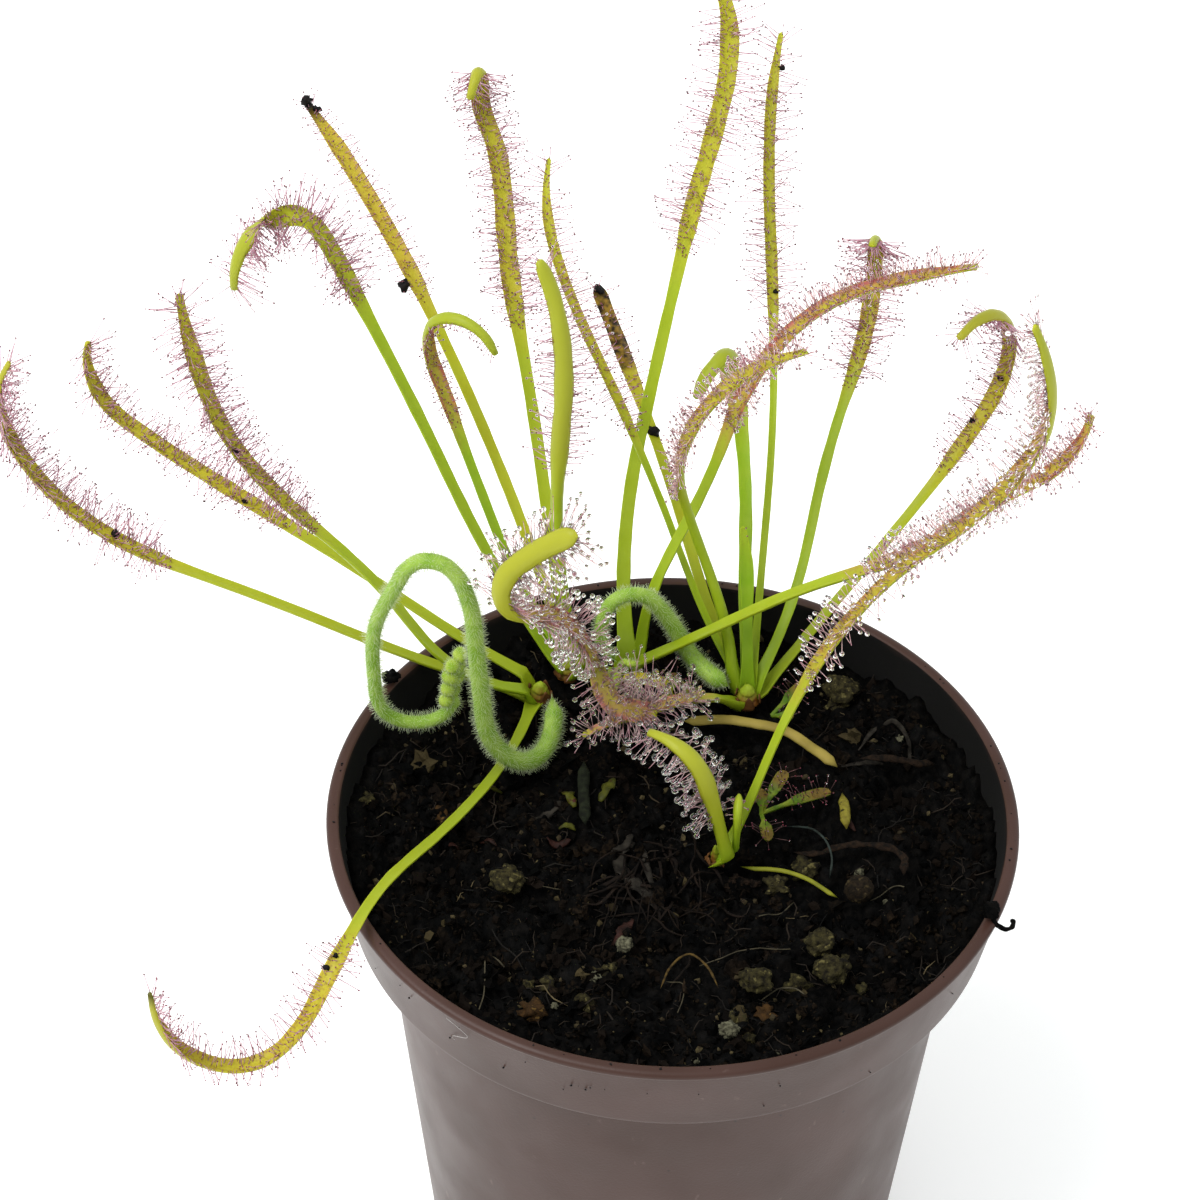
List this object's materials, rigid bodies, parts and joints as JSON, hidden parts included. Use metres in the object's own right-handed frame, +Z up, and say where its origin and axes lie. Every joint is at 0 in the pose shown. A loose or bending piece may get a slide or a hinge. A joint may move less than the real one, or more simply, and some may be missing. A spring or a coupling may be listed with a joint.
{
  "type": "potted sundew",
  "caption": "Sticky-leaved carnivorous rosette plant with arching strap leaves and coiled flower stalks, growing in a round nursery pot of peat.",
  "frame": {"origin": "centre of the pot's underside, on the surface that the pot stands on", "axes": "+Z up along the pot's axis, -Y towards the front, where the peat is bare; the leaves lean towards +Y"},
  "size_m": [0.1425, 0.1395, 0.1519],
  "materials": {
    "pot_plastic": "satin",
    "peat": "rough",
    "pumice": "rough",
    "perlite": "rough",
    "flower_stalk": "satin",
    "flower_bud": "satin",
    "sheath": "satin",
    "root": "rough",
    "dead_leaf": "rough",
    "shed_stalk": "satin",
    "leaf": "satin"
  },
  "bodies": {
    "root": {"crown_back_left": "sheath", "crown_front": "sheath", "crown_left": "sheath", "crown_middle": "sheath", "crown_right": "sheath", "cut_leaf_stalk": "shed_stalk", "dead_leaf_front": "dead_leaf", "dead_leaf_right": "dead_leaf", "dead_leaf_stem": "dead_leaf", "dry_spotted_stick": "shed_stalk", "flower_buds_left": "flower_bud", "flower_buds_right": "flower_bud", "flower_scape_left": "flower_stalk", "flower_scape_right": "flower_stalk", "grey_root": "root", "leaf_back_hooked": "leaf", "leaf_back_kinked": "leaf", "leaf_back_left_old": "leaf", "leaf_back_slender": "leaf", "leaf_balled": "leaf", "leaf_browned": "leaf", "leaf_crozier": "leaf", "leaf_dewy_short": "leaf", "leaf_far_left": "leaf", "leaf_front_broad": "leaf", "leaf_front_crozier": "leaf", "leaf_front_long": "leaf", "leaf_left_arched": "leaf", "leaf_left_low": "leaf", "leaf_left_raised": "leaf", "leaf_near_upright": "leaf", "leaf_nearest": "leaf", "leaf_over_rim": "leaf", "leaf_right_arched": "leaf", "leaf_right_curled": "leaf", "leaf_right_low": "leaf", "leaf_short_drooping": "leaf", "leaf_tallest": "leaf", "leaf_unrolling": "leaf", "leaf_young_upright": "leaf", "perlite_grain_1": "perlite", "perlite_grain_2": "perlite", "pot": "pot_plastic", "pumice_grain_1": "pumice", "pumice_grain_2": "pumice", "pumice_grain_3": "pumice", "pumice_grain_4": "pumice", "pumice_grain_5": "pumice", "rim_crumb_back": "peat", "rim_crumb_right": "peat", "rim_root_loop": "peat", "root_loop": "root", "rosette": "leaf", "seedling": "leaf", "shed_leaf_stalk": "shed_stalk", "side_plantlet": "leaf", "soil": "peat", "withered_leaf_ball": "dead_leaf"}
  },
  "joints": []
}
